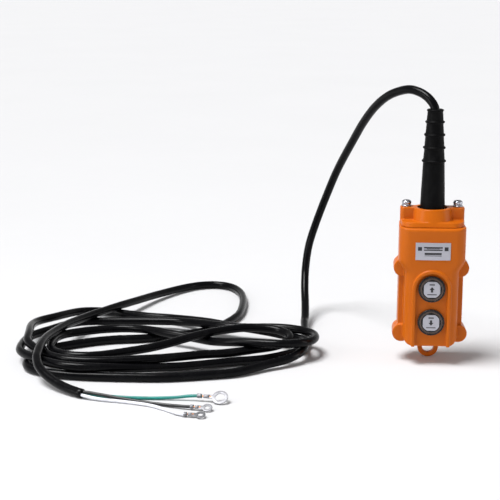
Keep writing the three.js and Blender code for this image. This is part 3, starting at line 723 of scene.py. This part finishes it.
def build_cord():
    """The control cord: one jacket from inside the boot to its bare end, which is cut square."""
    radius = CORD_DIAMETER / 2
    line = cord_route()
    way = directions(line)
    stations = [(point, heading, radius) for point, heading in zip(line, way)]
    tip, heading = line[-1], way[-1]
    # Round the rim of the cut and into the jacket: distance past the tip, and in from the outside.
    rim = [(-0.0004, 0), (0, 0.0004), (0, 0.001), (-0.0003, 0.0012), (-0.0022, 0.0013)]
    stations[-1:] = [(tip + heading * ahead, heading, radius - inward) for ahead, inward in rim]
    jacket = sweep("control_cord", stations, 28)
    keep(jacket, "cord", JACKET, "cord_drop", "cord_coil", "cord_tail")
    return tip, heading


def build_leads(tip, heading):
    """The three insulated conductors, from inside the cord's end to their ring terminals."""
    radius = WIRE_DIAMETER / 2
    for name, ((terminal_heading, tilt), sizes, places) in LEADS.items():
        route = [np.array(point) + np.array(AXIS) for point in places]
        offset = (route[0] - tip) - heading * np.dot(route[0] - tip, heading)
        inside = tip - heading * 0.002 + offset / norm(offset) * 0.0014
        line = through([inside, *route], 10)
        way = directions(line)
        ahead = np.array([*polar(1, terminal_heading), 0])
        past = line[-1] + ahead * sizes[0] * 0.42 * MM
        stations = [(point, onward, radius) for point, onward in zip(line, way)]
        stations[-1:] = [(line[-1], way[-1] + ahead, radius), (past, ahead, radius),
                         (past + ahead * 0.0002, ahead, radius * 0.8)]
        wire = sweep(f"lead_{name}_outside", stations, 20)
        keep(wire, f"wire_{name}", WIRE[name], f"wire_{name}")
        place = (Matrix.Translation(Vector(line[-1]) + Vector((0.0006, 0, 0)))
                 @ Matrix.Rotation(radians(terminal_heading), 4, "Z")
                 @ Matrix.Rotation(radians(tilt), 4, "X"))
        terminal = build_terminal(name, place, *sizes)
        path = np.vstack([line, past])
        length = float(norm(np.diff(path, axis=0), axis=1).sum())
        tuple(tip)


def crimp(name, start, end, half_wide, half_high, seam):
    """A rolled crimp along +X, its two edges curled together on top. Millimetres."""
    thickness, edge, seam_width = 0.4, 0.12, 0.26

    def section(x, grow):
        ring = []
        for angle in circle_angles(48):
            fold = exp(-(((angle - pi / 2) / seam_width) ** 2)) * seam
            ring.append(Vector((x, (half_wide + grow) * cos(angle) * (1 - fold * 0.2),
                                (half_high + grow) * sin(angle) * (1 - fold))))
        return ring

    rings = [section(start + edge, 0), section(end - edge, 0), section(end, -edge),
             section(end, edge - thickness), section(end - edge, -thickness),
             section(start + edge, -thickness), section(start, edge - thickness),
             section(start, -edge)]
    return skin(name, rings, close=True)


def build_terminal(name, place, barrel, neck, ring, hole):
    """A crimped ring terminal: insulation grip, conductor crimp, neck and ring."""
    thickness, neck_half, overlap = 0.85, 2.0, 2.2
    centre = barrel + neck + ring
    spread = degrees(asin(neck_half / ring))
    outline = [(barrel - overlap, -neck_half)]
    outline += arc((centre, 0), ring, 180 + spread, 540 - spread, 72)
    outline += [(barrel - overlap, neck_half)]
    plate = flat_stack(f"terminal_{name}", outline, thickness / 2)
    cut(plate, flat_stack("drill", circle(hole, 64, centre), 2))
    plate.data.transform(Matrix.Scale(MM, 4))
    broken_edges(plate, 0.16)
    grip = crimp("grip", -0.4, barrel * 0.36, 2.0, 1.95, 0.1)
    roll = crimp("roll", barrel * 0.5, barrel, 1.75, 1.45, 0.22)
    for part in (grip, roll):
        part.data.transform(Matrix.Scale(MM, 4))
        smooth(part, 45)
    terminal = merge(f"terminal_{name}", plate, grip, roll)
    strands = merge(f"strands_{name}", *[strand(k, barrel) for k in range(7)])
    terminal.data.transform(place)
    strands.data.transform(place)
    keep(terminal, "zinc", TIN, f"ring_terminal_{name}")
    keep(strands, "contact", COPPER)
    return terminal


def flat_stack(name, outline, half):
    """A flat shape from its outline in X and Y, in bare millimetres."""
    return skin(name, [[Vector((x, y, z)) for x, y in outline] for z in (-half, half)])


def strand(index, barrel):
    """One copper strand through the conductor crimp, in metres along +X."""
    ring = 0 if index == 0 else 0.62
    y = ring * cos(index * pi / 3) * MM
    z = ring * 0.8 * sin(index * pi / 3) * MM
    stations = [(((barrel * 0.38 + (barrel * 0.7 + 1.0) * t) * MM, y, z), (1, 0, 0), 0.3 * MM)
                for t in (0, 0.25, 0.5, 0.75, 1)]
    return sweep(f"strand_{index}", stations, 10)


def merge(name, first, *others):
    """Puts several closed shapes into one object."""
    work = bmesh.new()
    for obj in (first, *others):
        work.from_mesh(obj.data)
    work.to_mesh(first.data)
    work.free()
    for obj in others:
        bpy.data.objects.remove(obj)
    first.name = name
    return first


# ------ housing

def bulge(inset, foot, top, corner):
    """Front outline of the raised part: wide above the shoulders, narrow below, in X and Z."""
    lower, upper = LOWER_HALF - inset, UPPER_HALF - inset
    corner = max(corner - inset, 0.6)
    right = arc((lower - corner, foot + corner), corner, -90, 0, 12)
    for t in (k / 16 for k in range(17)):
        ease = t * t * (3 - 2 * t)
        right.append((lower + (upper - lower) * ease, SHOULDER_FOOT + (SHOULDER_TOP - SHOULDER_FOOT) * t))
    right.append((upper, top))
    return right + [(-x, z) for x, z in reversed(right)]


def bow(x):
    """The front face's gentle crown."""
    return CROWN * (x / UPPER_HALF) ** 2


def channel(half, foot):
    """The guarded channel's outline: straight sides, round about the upper button."""
    return [(-half, foot), (half, foot)] + arc((0, BUTTON_Z["up"]), half, 0, 180, 48)


def case_outline():
    return rounded(-FLANGE_HALF, FLANGE_HALF, FOOT, TOP, FLANGE_CORNER, 0.5)


def flange_room(front, back):
    """The room inside the flange, less the posts of the case screws."""
    half = FLANGE_HALF - WALL
    room = prism("room", rounded(-half, half, FOOT + WALL, TOP - WALL, 9, 7), front, back)
    return cut(room, *bars("boss", BOSS_RADIUS, EARS, front - 1, back + 1))


def cord_notch():
    return post("notch", CORD_NOTCH, (0, 0), TOP - WALL - 1, TOP + 1)


def top_round(radius):
    """Cutter that rounds the front face's top edge all the way along its crown."""
    rings = []
    for x in range(-40, 41, 4):
        section = [(FACE - 2, TOP + 2), (FACE - 2, TOP - radius)]
        section += reversed(arc((FACE + radius, TOP - radius), radius, 90, 180, 8))
        section += [(FACE + radius, TOP + 2)]
        rings.append([world((x, y + bow(x), z)) for y, z in section])
    return skin("top_round", rings)


def rolled_edge(start, flat, roll, depth):
    """Insets and depths from the parting side round a rolled edge to a flat face."""
    angles = [radians(9 * k) for k in range(11)]
    insets = [0.0] + [roll * (1 - cos(a)) for a in angles]
    depths = [start] + [flat + depth * (1 - sin(a)) for a in angles]
    return insets, depths


def crowned(outline, depth):
    """A ring of the front shell, which takes on the face's crown as it nears the face."""
    share = min(1, max(0, (FLANGE_FRONT - depth) / 10))
    return [world((x, depth + bow(x) * share, z)) for x, z in outline]


def build_front_case():
    """Front half: crowned bulge with soft shoulders, flange, screw ears and the ridged channel."""
    overrun = 14
    insets, depths = rolled_edge(12.0, FACE, 10.0, 9.0)
    across_face = range(12, 26, 2)
    insets += across_face
    depths += [FACE] * len(across_face)
    outlines = [bulge(inset, FOOT - overrun, TOP + overrun, 12) for inset in insets]
    case = skin("front_shell", [crowned(outline, depth) for outline, depth in zip(outlines, depths)])
    combine(case, "INTERSECT", prism("trim", bulge(0, FOOT + 0.5, TOP, 8), FACE - 3, FRONT_END))
    flange = prism("flange", case_outline(), FLANGE_FRONT, FRONT_END)
    ridge = prism("ridge", channel(CHANNEL_HALF + RIDGE_WIDTH, FOOT), RIDGE_FRONT, FLANGE_FRONT)
    combine(case, "UNION", flange, ridge, *bars("ear", EAR_RADIUS, EARS, EAR_FRONT, FRONT_END, 72))
    room = prism("space", bulge(WALL, FOOT + WALL, TOP - WALL, 8), -22, 6)
    combine(room, "UNION", flange_room(FLANGE_FRONT + 2.5, 6))
    cut(room, *bars("boss", BOSS_RADIUS, EARS, EAR_FRONT, 7),
        *bars("post", PILOT_HOLE * 2, BLOCK_SCREWS, -23, -14.3))
    cut(case, prism("channel", channel(CHANNEL_HALF, FOOT - 2), RIDGE_FRONT - 1, CHANNEL_FLOOR),
        room,
        *bars("seat", BUTTON_SEAT, [(0, z) for z in BUTTON_Z.values()], FACE - 1, -21),
        *bars("thread", CASE_SCREW_HOLE, EARS, EAR_FRONT + 2, 0),
        *bars("pilot", PILOT_HOLE, BLOCK_SCREWS, -22, 0),
        cord_notch(),
        top_round(3.0),
        block("behind", (-50, FRONT_END, 0), (50, 30, 200)))
    moulded(case, voxel=0.6, passes=6)
    keep(case, "case", ORANGE, "front_case")


def build_rear_case():
    """Rear half: rounded back, screw ears with deep screw wells, and the hanging eye."""
    insets, depths = rolled_edge(-20.0, BACK, 9.0, -9.0)
    outlines = [rounded(i - FLANGE_HALF, FLANGE_HALF - i, FOOT + i, TOP + 12 - i, FLANGE_CORNER - i, 10 - i)
                for i in insets]
    case = loft("rear_shell", *zip(outlines, depths))
    combine(case, "INTERSECT", prism("trim", case_outline(), REAR_START, BACK + 1))
    eye = arc((0, EYE_Z), EYE_RADIUS, 180, 360, 48)
    eye += [(EYE_RADIUS, FOOT + 4), (-EYE_RADIUS, FOOT + 4)]
    combine(case, "UNION", prism("lug", eye, EYE_FRONT, EYE_BACK),
            *bars("ear", EAR_RADIUS - 0.4, EARS, REAR_START, EAR_BACK, 72))
    room = flange_room(-10, BACK - WALL)
    bosses = [block(f"boss_{x:.0f}", (x - 4.8, CAP_SCREW_Y - 4.6, 112), (x + 4.8, CAP_SCREW_Y + 15, TOP))
              for x in (-CAP_SCREW_X, CAP_SCREW_X)]
    cut(room, *bosses,
        block("clamp_seat", (-14.5, 0.6, 117.5), (14.5, 18, 124.5)),
        bar("earth_post", 4, (EARTH_X, EARTH_Z), 12, 18))
    cut(case, room,
        *bars("well", 4.6, EARS, EAR_BACK, BACK + 1),
        *bars("hole", CASE_SCREW_HOLE, EARS, REAR_START - 1, EAR_BACK + 1),
        bar("eye", EYE_HOLE, (0, EYE_Z), EYE_FRONT - 1, EYE_BACK + 1, 96),
        *cap_screw_holes(119, TOP + 1),
        post("cord_seat", CORD_SEAT, (0, 0), 117, 125),
        *bars("clamp", PILOT_HOLE, CLAMP_SCREWS, 0, 12),
        bar("earth", PILOT_HOLE, (EARTH_X, EARTH_Z), 11, 16),
        cord_notch())
    moulded(case, voxel=0.6, passes=6)
    keep(case, "case", ORANGE, "rear_case")


# ------ cap, gasket and boot

def cap_outline(inset):
    """The cap's foot in plan, so far in from its edge."""
    return rounded(inset - 30.8, 30.8 - inset, inset - 23.5, 17 - inset, 13 - inset, 9 - inset)


def cap_screw_holes(foot, top):
    return [post(f"hole_{x:.0f}", CAP_SCREW_HOLE, (x, CAP_SCREW_Y), foot, top)
            for x in (-CAP_SCREW_X, CAP_SCREW_X)]


def collar_room(foot, top):
    return post("collar", COLLAR_RADIUS + CLEARANCE, (0, 0), foot, top, 96)


def tower_outline(front, fullness):
    """The tower in plan: half an oval behind and a fuller bow in front."""
    outline = []
    for angle in circle_angles(96):
        across, along = cos(angle), sin(angle)
        y = TOWER_BACK * along if along > 0 else -front * abs(along) ** fullness
        outline.append((TOWER_HALF * across, y))
    return outline


def build_cable_cap():
    """Cap over the boot's collar: base with a lip round its gasket, two blocky ears and a tower."""
    ledge = rounded(-30.5, 30.5, -22, 16.8, 12, 9)
    cap = plan_loft("cap", (cap_outline(0), CAP_LIP), (ledge, CAP_LEDGE))
    reach = CAP_SCREW_X + CAP_EAR
    ears = rounded(-reach, reach, CAP_EAR_FRONT, CAP_SCREW_Y + CAP_EAR, 4, CAP_EAR - 0.1)
    tower = plan_loft("tower", (tower_outline(TOWER_FRONT, 0.5), CAP_LIP),
                      (tower_outline(TOWER_HALF, 1), CAP_TOP))
    combine(cap, "UNION", plan_prism("cap_ears", ears, CAP_BASE, CAP_TOP), tower)
    cut(cap, plan_prism("seat", cap_outline(GASKET_INSET), TOP, CAP_BASE),
        post("bore", CAP_HOLE, (0, 0), CAP_BASE - 1, CAP_TOP + 1, 96),
        collar_room(TOP, CAP_LEDGE + 0.1),
        *cap_screw_holes(CAP_BASE - 1, CAP_TOP + 1))
    moulded(cap, voxel=0.4, passes=5)
    keep(cap, "case", ORANGE, "cable_cap")


def build_cap_gasket():
    """The gasket under the cap, set back inside the cap's lip."""
    outline = cap_outline(GASKET_INSET + CLEARANCE)
    gasket = plan_prism("cap_seal", outline, TOP + CLEARANCE, CAP_BASE - CLEARANCE)
    cut(gasket, collar_room(TOP - 1, CAP_BASE + 1), *cap_screw_holes(TOP - 1, CAP_BASE + 1))
    broken_edges(gasket, 0.2)
    keep(gasket, "rubber", GASKET, "cap_gasket")


def build_boot():
    """Ribbed strain relief: collar, long taper, four round ribs and a top lip."""
    bore, foot, ledge = 4.6, 137.9, 142.4
    profile = [(bore, foot), (COLLAR_RADIUS - 0.6, foot), (COLLAR_RADIUS, foot + 0.5),
               (COLLAR_RADIUS, ledge - 0.6), (COLLAR_RADIUS - 0.5, ledge), (13.2, ledge),
               (12.4, 143.0), (12.1, 155), (11.2, 180)]
    for z, radius in BOOT_RIBS:
        profile += [(radius + 0.1, z - 2.2), (radius + 0.2, z - 1.4)]
        profile += [(radius + 0.25 + r, h) for h, r in arc((z, 0), 1.15, 180, 0, 10)]
        profile += [(radius + 0.05, z + 1.4)]
    profile += [(7.5, 247.6), (7.7, 248.4)]
    profile += [(7.5 + r, h) for h, r in arc((249.3, 0), 0.8, 160, 0, 6)]
    profile += [(7.2, BOOT_TOP), (5.2, BOOT_TOP), (bore, BOOT_TOP - 0.6)]
    boot = smooth(turned("boot", profile, (0, 0, 0), ring=True), 60)
    keep(boot, "rubber", RUBBER, "cable_boot")


# ------ screws and washers

def pan_screw(name, centre, axis, head, shank, length):
    """A cross-slotted pan-head screw facing +Z or +Y, from the foot of its head (radius, height)."""
    radius, height = head
    pitch, tip = 0.8, 0.6
    dome = [(radius * cos(radians(a)) ** 0.6, height * (0.35 + 0.65 * sin(radians(a))))
            for a in range(0, 90, 9)]
    profile = [(0, -length - tip), (shank * 0.6, -length - tip)]
    for k in range(int(length / pitch)):
        z = -length + k * pitch
        profile += [(shank * 0.84, z), (shank, z + pitch / 2)]
    profile += [(shank, -0.01), (radius * 0.96, 0), (radius, height * 0.12), *dome, (0, height)]
    screw = turned(name, profile, centre, axis, 64)
    x, y, z = centre
    slot, width, floor, over = radius * 0.62, radius * 0.13, height * 0.5, height + 1
    for long, wide in ((slot, width), (width, slot)):
        if axis == "Z":
            cut(screw, block("slot", (x - long, y - wide, z + floor), (x + long, y + wide, z + over)))
        else:
            cut(screw, block("slot", (x - long, y + floor, z - wide), (x + long, y + over, z + wide)))
    return smooth(screw, 35)


def flat_washer(name, centre, inner, outer, thickness):
    bevel = 0.15
    profile = [(inner, 0.1), (inner + 0.1, 0), (outer - bevel, 0), (outer, bevel),
               (outer, thickness - bevel), (outer - bevel, thickness), (inner + 0.1, thickness),
               (inner, thickness - 0.1)]
    return smooth(turned(name, profile, centre, ring=True), 35)


def split_washer(name, centre, inner, outer, thickness):
    """A spring washer: one turn of square wire, its ends a little apart in height."""
    rise, gap, steps, bevel = 0.35, 8, 72, 0.15
    section = [(inner, 0), (outer - bevel, 0), (outer, bevel), (outer, thickness - bevel),
               (outer - bevel, thickness), (inner, thickness)]
    rings = []
    for k in range(steps + 1):
        angle = radians(gap + (360 - 2 * gap) * k / steps)
        lift = rise * k / steps
        rings.append([world((centre[0] + r * cos(angle), centre[1] + r * sin(angle),
                             centre[2] + h + lift)) for r, h in section])
    return smooth(skin(name, rings), 35)


def build_cap_screws():
    head = (4.7, 3.3)
    for label in ("left", "right"):
        low, high = span(f"cap_washer_{label}")
        lock_low, _ = span(f"cap_lock_washer_{label}")
        screw_low, screw_high = span(f"cap_screw_{label}")
        x, y = (low.x + high.x) / 2, (low.y + high.y) / 2
        washer = flat_washer(f"flat_washer_{label}", (x, y, low.z), CAP_SCREW_HOLE, 4.9, 0.9)
        keep(washer, "zinc", ZINC, f"cap_washer_{label}")
        spring = split_washer(f"spring_washer_{label}", (x, y, lock_low.z), CAP_SCREW_HOLE, 4.4, 0.95)
        keep(spring, "zinc", ZINC, f"cap_lock_washer_{label}")
        seat = screw_high.z - head[1]
        screw = pan_screw(f"pan_screw_{label}", (x, y, seat), "Z", head, 2.4, seat - screw_low.z - 0.6)
        keep(screw, "zinc", ZINC, f"cap_screw_{label}")


def build_cover_screws():
    for x, z in EARS:
        label = f"{'upper' if z > 60 else 'lower'}_{'left' if x < 0 else 'right'}"
        screw = pan_screw(f"case_screw_{label}", (x, EAR_BACK + CLEARANCE, z), "Y", (3.7, 2.6), 1.9, 17)
        keep(screw, "zinc", ZINC, f"cover_screw_{label}")


# ------ buttons

def build_button(name, z):
    """Bezel, spanner ring and the moving head with its printed label, as profiles (radius, depth)."""
    body = f"{name}_button"
    bezel = [(10, -17.6), (11.3, -17.6), (11.3, -25.1), (12.9, -25.1), (13.1, -25.3), (13.1, -27.2)]
    bezel += arc((12.5, -27.3), 0.6, 0, -90, 6)
    bezel += [(11.9, -27.9), (11.6, -27.6), (11.6, -26.1), (10, -26.1)]
    rim = smooth(turned(f"{name}_collar", bezel, (0, 0, z), "Y", ring=True), 35)
    keep(rim, "button", BLACK, f"{name}_bezel")
    ring = [(9.8, -28), (11.3, -28), (11.3, -26.4), (9.8, -26.4)]
    nut = turned(f"{name}_spanner_ring", ring, (0, 0, z), "Y", ring=True)
    notches = [block(f"notch{reach}", (-1.5, -29, z + reach - 0.9), (1.5, -27.1, z + reach + 0.9))
               for reach in (-10.6, 10.6)]
    cut(nut, *notches)
    broken_edges(nut, 0.14)
    # The lock ring's brown tint is a painted reflection of the orange channel.
    keep(nut, "zinc", STEEL_WITH_PAINTED_REFLECTION, f"{name}_lock_ring")
    head = [(0, -5.1), (3.5, -5.1), (3.5, -24.4), (9.2, -24.4), (9.4, -24.6), (9.4, -27.9)]
    head += arc((8.9, -28.1), 0.5, 0, -90, 6) + [(0, -28.6)]
    plunger = turned(f"{name}_plunger", head, (0, 0, z), "Y")
    cut(plunger, prism("recess", label_outline(z, 0.2), -29.6, -27.9))
    broken_edges(plunger, 0.12, 50, 2)
    keep(plunger, "button", BLACK, f"{name}_button", body=body)
    front, back = -28.4, -28.0
    label = prism(f"{name}_disc", label_outline(z, 0), front, back)
    broken_edges(label, 0.12)
    keep(label, "plate", PLATE, f"{name}_label", body=body)
    marks = [prism(f"mark{k}", outline, front, front - PRINT)
             for k, outline in enumerate(arrow(z, 1 if name == "up" else -1))]
    keep(merge(f"{name}_arrow", *marks), "button", INK, body=body)


def label_outline(z, extra):
    """A round label with four flats."""
    flat, radius = 8 + extra, 8.8 + extra
    reach = degrees(acos(flat / radius))
    return [point for start in (0, 90, 180, 270)
            for point in arc((0, z), radius, start + reach, start + 90 - reach, 16)]


def arrow(z, up):
    """A plain arrow with a short rule above and below it, as outlines in X and Z."""
    head = [(-2.5, z - 0.1 * up), (2.5, z - 0.1 * up), (0, z + 2.9 * up)]
    stem = rectangle(-1.1, 1.1, z - 2.7 * up, z - 0.1 * up)
    rules = [rectangle(-half, half, middle - thick, middle + thick)
             for half, middle, thick in ((4.6, z - 4.9, 0.45), (2.6, z + 5.0, 0.6))]
    return [head, stem, *rules]


# ------ name plate

def bowed_slab(name, left, right, low, high, back, front, columns):
    """A thin slab in X and Z that follows the face's crown."""
    corners = rectangle(back, front, low, high)
    columns_at = [left + (right - left) * k / columns for k in range(columns + 1)]
    return skin(name, [[world((x, y + bow(x), z)) for y, z in corners] for x in columns_at])


def build_name_plate():
    """A thin plate that follows the face, with plain printed bars in place of its words."""
    low, high = span("name_plate")
    plate = bowed_slab("rating_plate", low.x, high.x, low.z, high.z, high.y, low.y, 32)
    broken_edges(plate, 0.12, 60)
    keep(plate, "plate", PLATE, "name_plate")
    middle = (low.z + high.z) / 2
    # Each mark's place across and up from the middle, and its half sizes.
    marks = [(0, 3.9, 9.0, 0.75), (0, 1.5, 9.0, 0.55), (0, 2.7, 6.2, 0.22), (-12.8, 2.6, 1.9, 1.9),
             (12.8, 2.6, 1.9, 1.9), (0, -2.2, 8.2, 1.0), (0, -4.2, 8.2, 0.3)]
    printed = [bowed_slab(f"mark{k}", x - half_long, x + half_long, middle + z - half_high,
                          middle + z + half_high, low.y, low.y - PRINT, 16)
               for k, (x, z, half_long, half_high) in enumerate(marks)]
    keep(merge("plate_print", *printed), "button", INK)


# ------ pieces that keep their CAD shape

def finish_cad_nodes():
    """Gives every CAD node that still shows its own finish."""
    finishes = {"rubber": GASKET, "cord": JACKET, "zinc": ZINC, "contact": BRASS, "insulator": CREAM}
    finishes |= {f"wire_{colour}": material for colour, material in WIRE.items()}
    slots = {part["node"]: part["material_slot"] for part in frame["record"]["subparts"]}
    for name, obj in frame["nodes"].items():
        if not obj.hide_render:
            obj.data.materials.clear()
            obj.data.materials.append(finishes[slots[name]])


# ------ stage

def facing(direction):
    return Vector(direction).to_track_quat("-Z", "Y").to_euler()


def area_light(name, place, aim, size, power):
    data = bpy.data.lights.new(name, "AREA")
    data.shape = "RECTANGLE"
    data.size, data.size_y = size
    data.energy = power
    light = new_object(name, data)
    light.location = place
    light.rotation_euler = facing(Vector(aim) - Vector(place))


def build_sky():
    """White light from all round, dimmer from above, so that top faces keep their colour."""
    sky = bpy.data.worlds.new("studio")
    sky.use_nodes = True
    tree = sky.node_tree
    back = tree.nodes["Background"]
    back.inputs["Color"].default_value = (1, 1, 1, 1)
    apart = tree.nodes.new("ShaderNodeSeparateXYZ")
    fade = tree.nodes.new("ShaderNodeMapRange")
    for socket, value in (("From Min", 0.1), ("From Max", 0.3), ("To Min", 0.9), ("To Max", 0.28)):
        fade.inputs[socket].default_value = value
    tree.links.new(tree.nodes.new("ShaderNodeTexCoord").outputs["Generated"], apart.inputs[0])
    tree.links.new(apart.outputs["Z"], fade.inputs["Value"])
    tree.links.new(fade.outputs["Result"], back.inputs["Strength"])
    bpy.context.scene.world = sky


def build_stage():
    """A plain pale floor under soft studio lights, seen with plain colours."""
    bpy.context.scene.view_settings.view_transform = "Standard"
    reach, sunk = 14.0, -0.0002
    corners = rectangle(-reach - 0.15, reach - 0.15, 0.05 - reach, 0.05 + reach)
    floor = make("floor", [(x, y, sunk) for x, y in corners], [(0, 1, 2, 3)])
    floor.data.materials.append(pale_floor())
    build_sky()
    sun = new_object("softbox", bpy.data.lights.new("softbox", "SUN"))
    sun.data.energy = 4.2
    sun.data.angle = radians(28)
    sun.rotation_euler = facing((0.38, 0.14, -1))
    area_light("left_strip", (-1.1, -0.55, 0.45), (0, 0, 0.1), (0.25, 0.9), 4)
    area_light("right_strip", (1.2, -0.1, 0.5), (0, 0, 0.1), (0.2, 0.9), 2.5)


cord_tip, cord_heading = build_cord()
build_leads(cord_tip, cord_heading)
build_front_case()
build_rear_case()
build_cable_cap()
build_cap_gasket()
build_boot()
build_cap_screws()
build_cover_screws()
for button, button_z in BUTTON_Z.items():
    build_button(button, button_z)
build_name_plate()
finish_cad_nodes()
build_stage()
